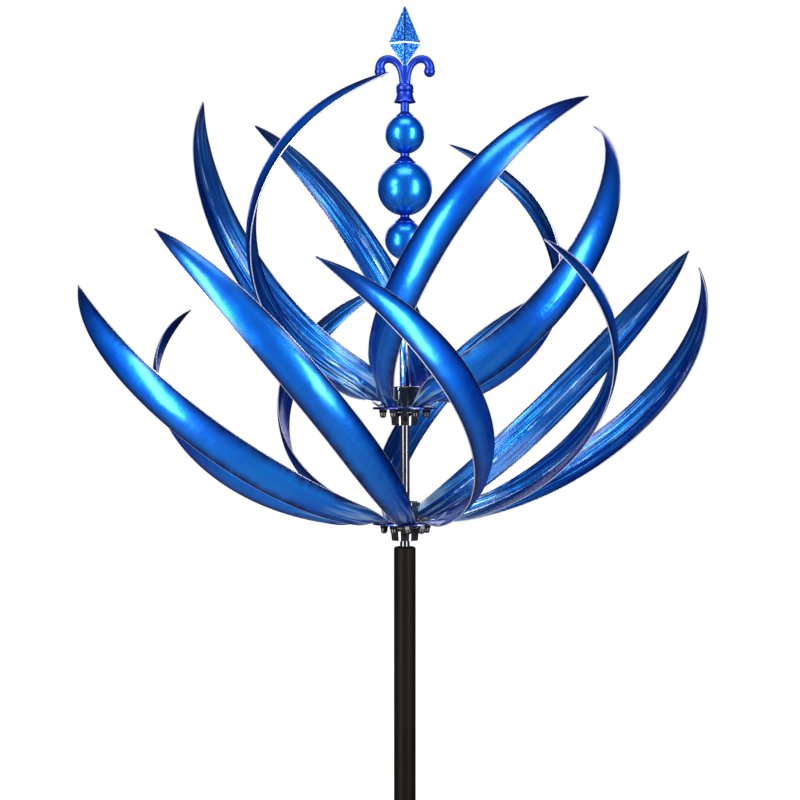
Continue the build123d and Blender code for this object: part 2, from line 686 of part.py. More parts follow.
def blade(rotor, index):
    """One pressed blade: a flat tab under its screw, then the curled sheet out to its tip."""
    tab_angle = rotor["first_angle"] + index * 360 / rotor["count"]
    inner = rotor["tab_inner_half_width"]
    fold_middle, _, across = blade_frame(rotor, index, 0)
    fold = across * rotor["tab_half_width"]
    corners = [(TAB_START, -inner), fold_middle - fold, fold_middle + fold, (TAB_START, inner)]
    with BuildPart() as sheet:
        loft(sections=[section(rotor, index, s) for s in STATIONS])
        with BuildSketch(Plane.XY):
            with BuildLine():
                Polyline(*[(x, y * rotor["sweep"]) for x, y, *_ in corners], close=True)
            make_face()
        extrude(amount=BLADE_THICK)
        with BuildSketch(Plane.XY):
            with Locations((SCREW_CIRCLE_R, 0)):
                Circle(SCREW_HOLE_R)
        extrude(amount=BLADE_THICK, mode=Mode.SUBTRACT)
    sheet.part.locate(Location((0, 0, rotor["plate_z"]), (0, 0, tab_angle)))
    return sheet


for rotor in (LOWER, UPPER):
    fixed_at_hub(rotor)
    turning_hub(rotor)
    for index in range(rotor["count"]):
        export(blade(rotor, index), f"{rotor['name']}_blade_{index + 1}")
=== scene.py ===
import json
from math import comb, copysign, cos, pi, radians, sin

import bpy
from mathutils import Matrix, Quaternion, Vector, noise


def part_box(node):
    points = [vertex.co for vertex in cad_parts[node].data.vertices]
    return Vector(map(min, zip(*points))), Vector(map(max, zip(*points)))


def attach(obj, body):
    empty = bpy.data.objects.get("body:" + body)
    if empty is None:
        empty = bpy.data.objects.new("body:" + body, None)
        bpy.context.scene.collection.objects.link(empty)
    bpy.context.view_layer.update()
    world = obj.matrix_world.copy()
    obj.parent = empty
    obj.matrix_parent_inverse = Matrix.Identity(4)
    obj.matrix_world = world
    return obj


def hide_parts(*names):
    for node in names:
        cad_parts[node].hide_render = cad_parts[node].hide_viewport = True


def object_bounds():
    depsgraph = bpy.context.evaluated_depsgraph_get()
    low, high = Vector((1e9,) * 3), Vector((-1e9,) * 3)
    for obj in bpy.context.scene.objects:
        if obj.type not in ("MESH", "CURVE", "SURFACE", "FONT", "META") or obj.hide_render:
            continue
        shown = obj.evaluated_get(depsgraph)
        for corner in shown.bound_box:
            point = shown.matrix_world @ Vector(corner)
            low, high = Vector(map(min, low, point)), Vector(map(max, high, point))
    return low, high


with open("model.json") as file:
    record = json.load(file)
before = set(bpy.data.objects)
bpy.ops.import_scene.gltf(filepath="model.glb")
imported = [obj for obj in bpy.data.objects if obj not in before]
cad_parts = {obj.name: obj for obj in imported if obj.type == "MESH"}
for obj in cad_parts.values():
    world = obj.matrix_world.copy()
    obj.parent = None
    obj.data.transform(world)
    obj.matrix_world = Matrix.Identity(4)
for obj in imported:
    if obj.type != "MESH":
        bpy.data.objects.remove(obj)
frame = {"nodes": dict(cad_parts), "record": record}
cad_low, cad_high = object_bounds()

# A staked garden wind spinner: two rotors of blue metal blades on one rod, balls and a spear above them, and
# a black pole below. The blades are rebuilt here as finer sheets; every other piece is the CAD's own. The
# front faces -Y. Lengths are in metres, except the blade sheet's, which are in millimetres.
MM = 0.001

# ---- heights taken from the frame ----------------------------------------------------------------------
UPPER_PLATE_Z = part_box("upper_plate")[1].z
LOWER_PLATE_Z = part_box("lower_plate")[1].z
FLOOR_Z = cad_low.z
SPEAR_WAIST_ABOVE_PLATE = 0.3003

# ---- camera --------------------------------------------------------------------------------------------
CAMERA_DISTANCE = 1.5593
CAMERA_ABOVE_PLATE = 0.0058
CAMERA_SIDE = -0.0040
LENS_MM = 85.0
SENSOR_MM = 36.0

# ---- studio --------------------------------------------------------------------------------------------
# name, azimuth from the front, elevation, distance, width, height, power
SOFTBOXES = [
    ("key_left", -46, 3, 2.2, 0.70, 2.0, 84),
    ("key_right", 46, 4, 2.2, 0.65, 1.9, 70),
    ("overhead", 0, 72, 2.0, 1.4, 1.0, 26),
    ("back_left", -160, 22, 2.4, 1.2, 1.2, 18),
    ("back_right", 160, 22, 2.4, 1.2, 1.2, 18),
]
SOFTBOX_AIM_ABOVE_PLATE = 0.08
# shade of the room by how far the direction turns from the front: 0 is straight behind, 1 is the front
FRONT = (0.0, -0.97, 0.24)
ROOM_SHADES = [
    (0.0, (0.05, 0.04, 0.10)),
    (0.35, (0.03, 0.03, 0.06)),
    (0.55, (0.06, 0.06, 0.08)),
    (0.80, (0.20, 0.20, 0.22)),
    (0.95, (0.20, 0.20, 0.22)),
    (1.0, (0.16, 0.16, 0.17)),
]
# shade of the floor's bounce by the height of the direction: 0 is straight down, 1 is straight up
BOUNCE_SHADES = [
    (0.0, (0.70, 0.70, 0.71)),
    (0.22, (0.45, 0.45, 0.46)),
    (0.44, (0.0, 0.0, 0.0)),
]
FLOOR_HALF_SIZE = 30
FLOOR_GAP = 0.0005
FLOOR_GLOW = 0.98
WHITE = (1, 1, 1)

# ---- blade sheet ---------------------------------------------------------------------------------------
# The same driving values as the CAD blades, in millimetres. Along a blade, s is 0 at the fold and 1 at its
# tip. The noise on the sheet is laid out along BLADE_LENGTH.
BLADE_THICK = 1.0
TAB_START = 13.6
BEND_R = 21.5
ROOT_LIFT = 0.3
ROOT_SHARE = 0.12
TIP_HALF_WIDTH = 0.9
BLADE_LENGTH = 340.0

# The curve's control points are (outward, along the sweep, up). The twist is in degrees from fold to tip.
# The bends are each blade's own turn, lift and roll in degrees, coming in over ROOT_SHARE of its length.
UPPER = {
    "name": "upper",
    "plate_z": UPPER_PLATE_Z,
    "sweep": 1,
    "first_angle": -1.6,
    "curve": [
        (BEND_R, 0, ROOT_LIFT),
        (67.5, 9.5, 34.5),
        (145, 52, 34.5),
        (171.5, 132.5, 189.5),
        (19, 168.5, 244),
    ],
    "twist": [-4, 0, 7, 1],
    "tilt": 39.5,
    "tab_half_width": 6.0,
    "tab_inner_half_width": 6.0,
    "half_width": 16.4,
    "widest_at": 0.23,
    "taper": 3.45,
    "tip_round": 0.64,
    "curl": 5.5,
    "bends": [(1, -5, -1), (4.5, -2.5, 1), (-2, 2, -1), (-4, 5, 2), (0, 2, -1), (-0.5, -0.5, -1)],
    "dent_seed": 11.0,
}
LOWER = {
    "name": "lower",
    "plate_z": LOWER_PLATE_Z,
    "sweep": -1,
    "first_angle": -1.2,
    "curve": [
        (BEND_R, 0, ROOT_LIFT),
        (84.5, 20.5, 11.5),
        (176, 60.5, 46.5),
        (210.5, 160.5, 146.5),
        (115, 232, 208),
    ],
    "twist": [-6, -3, 8, 8],
    "tilt": 43.0,
    "tab_half_width": 5.5,
    "tab_inner_half_width": 4.5,
    "half_width": 15.0,
    "widest_at": 0.45,
    "taper": 3.55,
    "tip_round": 0.8,
    "curl": 3.7,
    "bends": [
        (-0.5, 4, 0), (7.5, 0, -2), (7.5, 4, 3), (0.5, -0.5, 0), (0, 1, 0),
        (0.5, -4, -4), (-5.5, 0, -3), (-3, 0.5, 5), (0, -2.5, -1),
    ],
    "dent_seed": 47.0,
}

# How finely the sheet is divided. Above 1, STATION_CROWDING draws stations to the root; below 1,
# POINT_CROWDING draws points to the edges.
STATIONS_ALONG = 150
STATION_CROWDING = 1.15
TAB_STATIONS = 5
POINTS_PER_HALF = 14
POINT_CROWDING = 0.9
EDGE_ROUND_POINTS = 4
MIN_FLAT_HALF = 0.2
SHARP_ANGLE = 35

# The crease folds the section most near the root: its strength is smooth(CREASE_HOLD - CREASE_FADE * s).
CREASE_DEPTH = 0.35
CREASE_HOLD = 1.25
CREASE_FADE = 1.8
# A fine groove follows the crease on the hollow face and fades at both ends.
GROOVE_DEPTH = 0.30
GROOVE_ROOT_FADE = 0.1
GROOVE_TIP_FADE = 0.2

# Hammer marks: their depth, how many there are along a blade and in each millimetre across it, and finer
# marks over them.
DENT_DEPTH = 0.16
DENT_START = 0.02
DENT_FADE = 0.1
DENTS_ALONG = 16
DENTS_PER_MM_ACROSS = 0.06
FINE_DENT_SHARE = 0.35
FINE_DENT_SCALE = 2.7
DENT_SEED_STEP = 7.3
DENT_LAYER = 3.0
# keeps the noise on a sheet's two faces apart
FACE_GAP = 5

# ---- colours -------------------------------------------------------------------------------------------
VIOLET = (0.012, 0.016, 0.46)
# painted shade: the navy laid along the blades' edges and tips, over their hollow faces, along the spear's
# ridge and in the sleeve's dark streaks
SHADE_NAVY = (0.004, 0.010, 0.080)
# painted reflection: the light streaks down a blade's hollow face
STREAK_SHEEN = (0.05, 0.24, 0.58)
# painted highlight: the broken pale line along the crease on a blade's hollow face
CREASE_HIGHLIGHT = (0.40, 0.66, 0.95)
# the bare worn metal on a sheet's rim, lightened further as a painted highlight
RIM_WEAR_AND_HIGHLIGHT = (0.70, 0.76, 0.95)
# painted highlight: the pale line round the spear's waist
WAIST_HIGHLIGHT = (0.48, 0.68, 0.78)
# painted reflection of the pale floor: light streaks near a blade's root
ROOT_FLOOR_REFLECTION = (0.50, 0.72, 0.86)
EDGE_TINT = (0.03, 0.10, 0.42)
# share of the navy painted shade over a blade's hollow face
HOLLOW_SHADE = 0.55
# how much rougher the flake's glow is than the shine above it
FLAKE_SPREAD = 0.28
# the size of the spear's glitter, and how far from its ridge and waist its painted shade and painted
# highlight are measured
GLITTER_FLAKES_PER_METRE = 1000.0
SPEAR_SHADE_REACH = 0.0025


# ---- curves --------------------------------------------------------------------------------------------
def bezier(points, s):
    """A point, or a number, on the Bezier curve with these control points."""
    last = len(points) - 1
    weights = [comb(last, i) * s**i * (1 - s) ** (last - i) for i in range(last + 1)]
    if isinstance(points[0], (int, float)):
        return sum(w * p for w, p in zip(weights, points))
    return Vector([sum(w * p[axis] for w, p in zip(weights, points)) for axis in range(3)])


def bezier_direction(points, s):
    """The unit direction of the Bezier curve at s."""
    last = len(points) - 1
    slopes = [tuple(last * (b - a) for a, b in zip(points[i], points[i + 1])) for i in range(last)]
    return bezier(slopes, s).normalized()


def smooth(x):
    """0 up to x = 0, 1 from x = 1, and an even S between them."""
    x = min(max(x, 0.0), 1.0)
    return x * x * (3 - 2 * x)


# ---- blades --------------------------------------------------------------------------------------------
def half_width(rotor, s):
    """Half the blade's width at s: it swells from the tab to its widest place, then tapers to the tip."""
    widest = rotor["half_width"]
    start = rotor["tab_half_width"]
    if s < rotor["widest_at"]:
        return start + (widest - start) * sin(0.5 * pi * s / rotor["widest_at"])
    along = (s - rotor["widest_at"]) / (1 - rotor["widest_at"])
    return max(TIP_HALF_WIDTH, widest * max(1 - along ** rotor["taper"], 0) ** rotor["tip_round"])


def bend(vector, hand, share):
    """Turn a vector by a share of a blade's own turn, lift and roll."""
    turn, lift, roll = (radians(angle * share) for angle in hand)
    spin = Matrix.Rotation(turn, 3, "Z") @ Matrix.Rotation(-lift, 3, "Y") @ Matrix.Rotation(roll, 3, "X")
    return spin @ vector


def blade_frame(rotor, index, s):
    """Centre, width direction and depth direction at s, for a blade that starts out along +X."""
    hand = rotor["bends"][index]
    centre = bezier(rotor["curve"], s)
    along = bezier_direction(rotor["curve"], s)
    tilt = radians(rotor["tilt"])
    across = Vector((0, cos(tilt), -sin(tilt)))
    across = (across - along * across.dot(along)).normalized()
    across = Quaternion(along, radians(bezier(rotor["twist"], s))) @ across
    flat = Vector((-along.y, along.x, 0)).normalized()
    share = smooth(s / ROOT_SHARE)
    across = (flat * (1 - share) + across * share).normalized()
    root = Vector((BEND_R, 0, 0))
    centre = root + bend(centre - root, hand, share)
    along = bend(along, hand, share)
    across = bend(across, hand, share)
    return centre, across, along.cross(across)


def blade_stations(rotor, index):
    """The blade's cross-sections from the tab's inner end to the tip: centre, axes, half width, curl, s."""
    inner_half = rotor["tab_inner_half_width"]
    widening = rotor["tab_half_width"] - inner_half
    fold = blade_frame(rotor, index, 0)[1]
    stations = []
    for step in range(TAB_STATIONS):
        share = step / TAB_STATIONS
        centre = Vector((TAB_START + (BEND_R - TAB_START) * share, 0, 0))
        across = (Vector((0, 1, 0)) * (1 - share) + fold * share).normalized()
        stations.append((centre, across, Vector((0, 0, 1)), inner_half + widening * share, 0.0, 0.0))
    for step in range(STATIONS_ALONG + 1):
        s = (step / STATIONS_ALONG) ** STATION_CROWDING
        centre, across, depth = blade_frame(rotor, index, s)
        half = half_width(rotor, s)
        curl = rotor["curl"] * half / rotor["half_width"] * smooth(s / ROOT_SHARE)
        stations.append((centre, across, depth, half, curl, s))
    return stations


def rounded_edge(across, start):
    """Points round one edge of the sheet's section, through half a turn from the angle start."""
    radius = BLADE_THICK / 2
    angles = [start + pi * i / EDGE_ROUND_POINTS for i in range(1, EDGE_ROUND_POINTS)]
    return [(across + radius * cos(angle), radius + radius * sin(angle), 1.0, 0) for angle in angles]


def section_loop(half, curl, fullness, groove):
    """Points round the sheet's section as (across, depth, edge share, side), side +1 on the hollow face.

    The bowl is round at a fullness of 1, and below that it is folded along a crease in the middle.
    """
    flat_half = max(half - BLADE_THICK / 2, MIN_FLAT_HALF)
    back = []
    hollow = []
    for i in range(-POINTS_PER_HALF, POINTS_PER_HALF + 1):
        t = copysign(abs(i / POINTS_PER_HALF) ** POINT_CROWDING, i)
        q = 1 - abs(t)
        sunk = curl * (2 * fullness * q * (1 - q) + q * q)
        back.append((flat_half * t, -sunk, abs(t), -1))
        hollow.append((flat_half * t, BLADE_THICK - sunk - (groove if i == 0 else 0), abs(t), 1))
    hollow.reverse()
    return back + rounded_edge(flat_half, -pi / 2) + hollow + rounded_edge(-flat_half, pi / 2)


def blade_points(rotor, index):
    """The blade's points, station by station, and the values at each point that its material reads."""
    angle = radians(rotor["first_angle"] + index * 360 / len(rotor["bends"]))
    spin = Matrix.Rotation(angle, 3, "Z")
    lift = Vector((0, 0, rotor["plate_z"]))
    seed = Vector((index * DENT_SEED_STEP, rotor["dent_seed"], DENT_LAYER))
    points = []
    values = {"edge": [], "along": [], "rim": [], "hollow": [], "painted": []}
    places = []
    for centre, across, depth, half, curl, s in blade_stations(rotor, index):
        fullness = 1.0 - CREASE_DEPTH * smooth(CREASE_HOLD - CREASE_FADE * s)
        groove = GROOVE_DEPTH * smooth(s / GROOVE_ROOT_FADE) * smooth((1 - s) / GROOVE_TIP_FADE)
        dent = DENT_DEPTH * smooth((s - DENT_START) / DENT_FADE)
        for x, y, edge, side in section_loop(half, curl, fullness, groove):
            spot = Vector((s * DENTS_ALONG, x * DENTS_PER_MM_ACROSS, 0.0)) + seed
            y += dent * (noise.noise(spot) + FINE_DENT_SHARE * noise.noise(spot * FINE_DENT_SCALE))
            point = centre + across * x + depth * y
            point.y *= rotor["sweep"]
            points.append(spin @ (point * MM) + lift)
            values["edge"].append(edge)
            values["along"].append(s)
            values["rim"].append(1.0 if side == 0 else 0.0)
            values["hollow"].append(1.0 if side > 0 else 0.0)
            values["painted"].append(1.0)
            places.extend((x, s * BLADE_LENGTH, seed.x + FACE_GAP * side))
    return points, values, places


def tube_faces(rings, ring, inside_out):
    """Quads between neighbouring rings of a tube, and a cap at each end."""
    faces = []
    for i in range(rings - 1):
        for j in range(ring):
            a = i * ring + j
            b = i * ring + (j + 1) % ring
            faces.append((a, b, b + ring, a + ring))
    faces.append(tuple(reversed(range(ring))))
    faces.append(tuple(range((rings - 1) * ring, rings * ring)))
    if inside_out:
        faces = [tuple(reversed(face)) for face in faces]
    return faces


def mesh_piece(name, points, faces, material):
    """A smooth-shaded mesh object with one material."""
    mesh = bpy.data.meshes.new(name)
    mesh.from_pydata([tuple(point) for point in points], [], faces)
    mesh.validate()
    mesh.update()
    mesh.materials.append(material)
    mesh.shade_smooth()
    mesh.set_sharp_from_angle(angle=radians(SHARP_ANGLE))
    piece = bpy.data.objects.new(name, mesh)
    bpy.context.scene.collection.objects.link(piece)
    return piece


def make_blade(rotor, index):
    """One pressed sheet-metal blade with a flat tab, a soft crease and slight hammer marks."""
    points, values, places = blade_points(rotor, index)
    rings = TAB_STATIONS + STATIONS_ALONG + 1
    faces = tube_faces(rings, len(points) // rings, inside_out=rotor["sweep"] > 0)
    piece = mesh_piece(f"{rotor['name']}_blade_sheet_{index + 1}", points, faces, BLUE)
    for label, numbers in values.items():
        layer = piece.data.attributes.new(label, "FLOAT", "POINT")
        layer.data.foreach_set("value", numbers)
    layer = piece.data.attributes.new("sheet", "FLOAT_VECTOR", "POINT")
    layer.data.foreach_set("vector", places)
    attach(piece, f"{rotor['name']}_rotor")
    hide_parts(f"{rotor['name']}_blade_{index + 1}")


# ---- node trees ----------------------------------------------------------------------------------------
class Tree:
    """A material's or the world's node tree, with a short name for each kind of step it is built from.

    Wherever a step takes a number, colour or vector, it also takes another node's output.
    """

    def __init__(self, owner, output):
        owner.use_nodes = True
        self.nodes = owner.node_tree.nodes
        self.links = owner.node_tree.links
        self.nodes.clear()
        self.output = self.node(output)

    def node(self, kind, inputs=None, **settings):
        """A new node with these settings, and its inputs set or linked by name or number."""
        node = self.nodes.new("ShaderNode" + kind)
        for name, value in settings.items():
            setattr(node, name, value)
        for name, value in (inputs or {}).items():
            socket = node.inputs[name]
            if isinstance(value, bpy.types.NodeSocket):
                self.links.new(value, socket)
            elif socket.type == "RGBA":
                socket.default_value = (*value, 1)
            else:
                socket.default_value = value
        return node

    def show(self, surface):
        """Make this shader what the tree shows."""
        self.links.new(surface, self.output.inputs["Surface"])

    def shader(self, inputs):
        """A Principled shader."""
        return self.node("BsdfPrincipled", inputs).outputs["BSDF"]

    def noise(self, scale, detail, roughness=0.5, stretch=(1, 1, 1)):
        """Noise in the piece's own coordinates."""
        place = self.node("TexCoord").outputs["Object"]
        return self.stretched_noise(place, stretch, scale, detail, roughness)

    def sheet_noise(self, across, along, detail=2.0):
        """Noise laid out on a blade's own sheet, in cycles per millimetre across it and along it."""
        place = self.node("Attribute", attribute_name="sheet").outputs["Vector"]
        return self.stretched_noise(place, (across, along, 1), 1.0, detail, 0.5)

    def stretched_noise(self, place, stretch, scale, detail, roughness):
        """Noise at this place, finer along the axes where the stretch is more."""
        mapped = self.node("Mapping", {"Vector": place, "Scale": stretch}).outputs["Vector"]
        values = {"Vector": mapped, "Scale": scale, "Detail": detail, "Roughness": roughness}
        return self.node("TexNoise", values).outputs["Fac"]

    def point_value(self, name):
        """A value that the blade sheets carry at every point; pieces without it read 0."""
        return self.node("Attribute", attribute_name=name).outputs["Fac"]

    def ramp(self, source, stops):
        """The colours, or greys where a stop holds one number, that the source runs through."""
        ramp = self.node("ValToRGB", {"Fac": source})
        elements = ramp.color_ramp.elements
        while len(elements) < len(stops):
            elements.new(0.5)
        for element, (place, shade) in zip(elements, stops):
            colour = shade if isinstance(shade, tuple) else (shade, shade, shade)
            element.position = place
            element.color = (*colour, 1)
        return ramp.outputs["Color"]

    def math(self, operation, first, second=0.0):
        """One step of arithmetic."""
        return self.node("Math", {0: first, 1: second}, operation=operation).outputs["Value"]

    def product(self, first, *others):
        """These numbers multiplied together."""
        for other in others:
            first = self.math("MULTIPLY", first, other)
        return first

    def distance(self, coordinate, middle, reach):
        """How far a coordinate is from the middle, as a share of the reach."""
        gap = self.math("ABSOLUTE", self.math("SUBTRACT", coordinate, middle))
        return self.math("MULTIPLY", gap, 1 / reach)

    def mix(self, share, first, second, blend="MIX"):
        """A share of the second colour over the first."""
        # The Mix node has sockets of the same names for each data type, so its colour ones go by number.
        inputs = {0: share, 6: first, 7: second}
        return self.node("Mix", inputs, data_type="RGBA", blend_type=blend).outputs[2]

    def bump(self, height, strength, distance, normal=None):
        """A bumped normal, on top of another one if given."""
        inputs = {"Height": height, "Strength": strength, "Distance": distance}
        if normal is not None:
            inputs["Normal"] = normal
        return self.node("Bump", inputs).outputs["Normal"]


def new_material(name):
    """An empty material and its tree."""
    material = bpy.data.materials.new(name)
    return material, Tree(material, "OutputMaterial")


# ---- blue lacquers -------------------------------------------------------------------------------------
def sheet_relief(tree, swell_height):
    """Swells in the metal, draw lines down the hollow face and puckers beside the crease near the root."""
    swell = tree.noise(scale=60.0, detail=2.0)
    normal = tree.bump(swell, strength=0.5, distance=swell_height)
    lines = tree.product(tree.sheet_noise(across=0.28, along=0.010), tree.point_value("hollow"))
    normal = tree.bump(lines, strength=0.8, distance=0.0030, normal=normal)
    pucker = tree.sheet_noise(across=0.09, along=0.22, detail=3.0)
    near_crease = tree.ramp(tree.point_value("edge"), [(0.0, 1.0), (0.12, 1.0), (0.30, 0.0)])
    near_root = tree.ramp(tree.point_value("along"), [(0.04, 0.0), (0.16, 1.0), (0.42, 1.0), (0.58, 0.0)])
    pucker = tree.product(pucker, near_crease, near_root)
    return tree.bump(pucker, strength=0.5, distance=0.0016, normal=normal)


def painted_shade(tree, along, edge, hollow):
    """How much painted shade lies over the lacquer: along the edges, wavering where the sheet wrinkles, at
    the tip, and over the hollow face.
    """
    wrinkled = tree.ramp(along, [(0.04, 0.0), (0.14, 0.5), (0.46, 0.5), (0.62, 0.0)])
    waver = tree.math("SUBTRACT", tree.sheet_noise(across=0.05, along=0.12, detail=3.0), 0.5)
    wavering_edge = tree.math("ADD", tree.product(waver, wrinkled), edge)
    # painted shade along both edges, its boundary wavering where the sheet wrinkles
    edge_shade = tree.ramp(wavering_edge, [(0.50, 0.0), (0.80, 0.58), (0.95, 0.95)])
    # painted shade at the tip
    tip = tree.ramp(along, [(0.86, 0.0), (0.97, 0.9)])
    # painted shade over the hollow face; the strongest of the three shares is kept
    return tree.math("MAXIMUM", tree.math("MAXIMUM", edge_shade, tip), tree.product(hollow, HOLLOW_SHADE))


def painted_light_and_wear_layers(tree):
    """(share, colour) layers over the lacquer, the lowest first: painted shade, painted reflections and
    highlights, and the rims' wear; they show only on the blade sheets.
    """
    along = tree.point_value("along")
    edge = tree.point_value("edge")
    hollow = tree.point_value("hollow")
    streak_sheen = tree.ramp(tree.sheet_noise(across=0.42, along=0.012), [(0.54, 0.0), (0.66, 0.7)])
    crease = tree.ramp(edge, [(0.0, 0.9), (0.03, 0.8), (0.06, 0.0)])
    broken = tree.ramp(tree.sheet_noise(across=0.05, along=0.035), [(0.46, 0.0), (0.60, 1.0)])
    streaks = tree.ramp(tree.sheet_noise(across=0.45, along=0.02), [(0.46, 0.0), (0.58, 1.0)])
    root = tree.ramp(along, [(0.0, 0.95), (0.06, 0.85), (0.24, 0.0)])
    return [
        # painted shade along the edges, at the tip and over the hollow face
        (painted_shade(tree, along, edge, hollow), SHADE_NAVY),
        # painted reflection: light streaks down the hollow face
        (tree.product(streak_sheen, hollow), STREAK_SHEEN),
        # painted highlight: a broken pale line along the crease on the hollow face
        (tree.product(crease, hollow, broken), CREASE_HIGHLIGHT),
        # painted reflection of the floor: pale streaks near the root
        (tree.product(streaks, root, tree.point_value("painted")), ROOT_FLOOR_REFLECTION),
        # the rim's bare worn metal, with a painted highlight on it
        (tree.point_value("rim"), RIM_WEAR_AND_HIGHLIGHT),
    ]


def blue_lacquer(name, deep, azure, roughness, swell_height, shine_share, clear_coat):
    """Candy-blue lacquer: a broad deep-blue glow from the flake below a tighter azure shine."""
    material, tree = new_material(name)
    cloud = tree.ramp(tree.noise(scale=22.0, detail=3.0), [(0.3, 0.0), (0.7, 0.25)])
    violet = tree.ramp(tree.noise(scale=11.0, detail=2.0), [(0.52, 0.0), (0.72, 0.55)])
    grain = tree.noise(scale=60.0, detail=5.0, roughness=0.6)
    rough = tree.ramp(grain, [(0.3, roughness - 0.03), (0.7, roughness + 0.04)])
    relief = sheet_relief(tree, swell_height)
    # painted shade, painted highlights and reflections, and the rims' wear
    layers = painted_light_and_wear_layers(tree)

    def lobe(colour, cloud_colour, finish):
        """A metallic shader of this colour, clouded, with violet patches, and under the painted shade,
        painted highlights and reflections, and the rims' wear.
        """
        shade = tree.mix(violet, tree.mix(cloud, colour, cloud_colour), VIOLET)
        for share, layer_colour in layers:
            shade = tree.mix(share, shade, layer_colour)
        metal = {"Base Color": shade, "Normal": relief, "Metallic": 1.0, "Specular Tint": EDGE_TINT}
        return tree.shader(metal | finish)

    flake = lobe(deep, azure, {"Roughness": tree.math("ADD", rough, FLAKE_SPREAD)})
    coat = {"Coat Weight": clear_coat, "Coat Roughness": 0.20}
    shine = lobe(azure, deep, {"Roughness": rough} | coat)
    tree.show(tree.node("MixShader", {"Fac": shine_share, 1: flake, 2: shine}).outputs["Shader"])
    return material


def glitter_lacquer():
    """Coarse blue glitter on the spear, with painted shade along its upright ridges and a painted highlight
    round its waist.
    """
    material, tree = new_material("glitter_lacquer")
    place = tree.node("TexCoord").outputs["Object"]
    flakes = tree.node("TexVoronoi", {"Vector": place, "Scale": GLITTER_FLAKES_PER_METRE}).outputs["Color"]
    tones = tree.node("SeparateColor", {"Color": flakes}).outputs
    axes = tree.node("SeparateXYZ", {"Vector": place}).outputs
    stops = [(0.15, (0.008, 0.036, 0.30)), (0.60, (0.012, 0.090, 0.42)), (0.95, (0.08, 0.36, 0.62))]
    from_ridge = tree.distance(axes["X"], 0.0, SPEAR_SHADE_REACH)
    from_waist = tree.distance(axes["Z"], UPPER_PLATE_Z + SPEAR_WAIST_ABOVE_PLATE, SPEAR_SHADE_REACH)
    colour = tree.ramp(tones["Red"], stops)
    # painted shade along the ridge
    colour = tree.mix(tree.ramp(from_ridge, [(0.12, 0.9), (0.35, 0.0)]), colour, SHADE_NAVY)
    # painted highlight round the waist
    colour = tree.mix(tree.ramp(from_waist, [(0.24, 0.9), (0.31, 0.0)]), colour, WAIST_HIGHLIGHT)
    tree.show(tree.shader({
        "Base Color": colour,
        "Metallic": 1.0,
        "Roughness": 0.45,
        "Specular Tint": EDGE_TINT,
        "Normal": tree.bump(tones["Green"], strength=0.8, distance=0.0006),
    }))
    return material


def sleeve_painted_reflections():
    """Dark lacquer with painted reflections up the sleeve: pale and dark wavering streaks, bumped along with
    them.
    """
    material, tree = new_material("sleeve_painted_reflections")
    streaks = tree.noise(scale=1.0, detail=3.0, roughness=0.6, stretch=(330, 330, 55))
    # painted reflections: navy, blue, azure and pale streaks
    stops = [
        (0.36, SHADE_NAVY), (0.43, (0.004, 0.04, 0.42)), (0.49, (0.04, 0.22, 0.66)), (0.55, (0.60, 0.76, 0.86)),
    ]
    tree.show(tree.shader({
        "Base Color": tree.ramp(streaks, stops),
        "Metallic": 1.0,
        "Roughness": 0.28,
        "Normal": tree.bump(streaks, strength=0.5, distance=0.0012),
    }))
    return material


def plate_lacquer():
    """Thin dark-blue lacquer on the turned plates, with silvery patches here and there."""
    material, tree = new_material("plate_lacquer")
    marks = tree.noise(scale=260.0, detail=4.0, roughness=0.6)
    stops = [(0.35, (0.006, 0.012, 0.09)), (0.55, (0.02, 0.04, 0.22)), (0.68, (0.30, 0.36, 0.55))]
    tree.show(tree.shader({
        "Base Color": tree.ramp(marks, stops),
        "Metallic": 1.0,
        "Roughness": 0.30,
        "Normal": tree.bump(marks, strength=0.2, distance=0.0004),
    }))
    return material


# ---- other finishes ------------------------------------------------------------------------------------
def black_enamel():
    """Glossy black paint with a slight orange peel."""
    material, tree = new_material("black_enamel")
    grain = tree.noise(scale=90.0, detail=5.0)
    tree.show(tree.shader({
        "Base Color": tree.ramp(grain, [(0.3, (0.006, 0.006, 0.008)), (0.7, (0.016, 0.016, 0.020))]),
        "Roughness": tree.ramp(grain, [(0.3, 0.05), (0.7, 0.11)]),
        "Coat Weight": 1.0,
        "Coat Roughness": 0.04,
        "Normal": tree.bump(grain, strength=0.05, distance=0.0006),
    }))
    return material


def powder_coat():
    """Dull brownish-black powder coat with a fine grain."""
    material, tree = new_material("powder_coat")
    grain = tree.noise(scale=900.0, detail=3.0)
    cloud = tree.noise(scale=14.0, detail=4.0)
    tree.show(tree.shader({
        "Base Color": tree.ramp(cloud, [(0.3, (0.003, 0.002, 0.0015)), (0.7, (0.006, 0.004, 0.003))]),
        "Roughness": tree.ramp(cloud, [(0.3, 0.44), (0.7, 0.52)]),
        "Specular IOR Level": 0.06,
        "Normal": tree.bump(grain, strength=0.25, distance=0.0003),
    }))
    return material


def steel(name, dark, light, roughness):
    """Bare or blackened steel, its tone and roughness varied by a fine grain."""
    material, tree = new_material(name)
    grain = tree.noise(scale=400.0, detail=6.0, roughness=0.6)
    tree.show(tree.shader({
        "Base Color": tree.ramp(grain, [(0.3, dark), (0.7, light)]),
        "Metallic": 1.0,
        "Roughness": tree.ramp(grain, [(0.3, roughness), (0.7, roughness + 0.12)]),
        "Normal": tree.bump(grain, strength=0.1, distance=0.0003),
    }))
    return material


def nylon():
    """Off-white nylon, slightly mottled."""
    material, tree = new_material("nylon")
    grain = tree.noise(scale=300.0, detail=4.0)
    colour = tree.ramp(grain, [(0.3, (0.70, 0.68, 0.62)), (0.7, (0.80, 0.78, 0.73))])
    tree.show(tree.shader({"Base Color": colour, "Roughness": 0.45}))
    return material


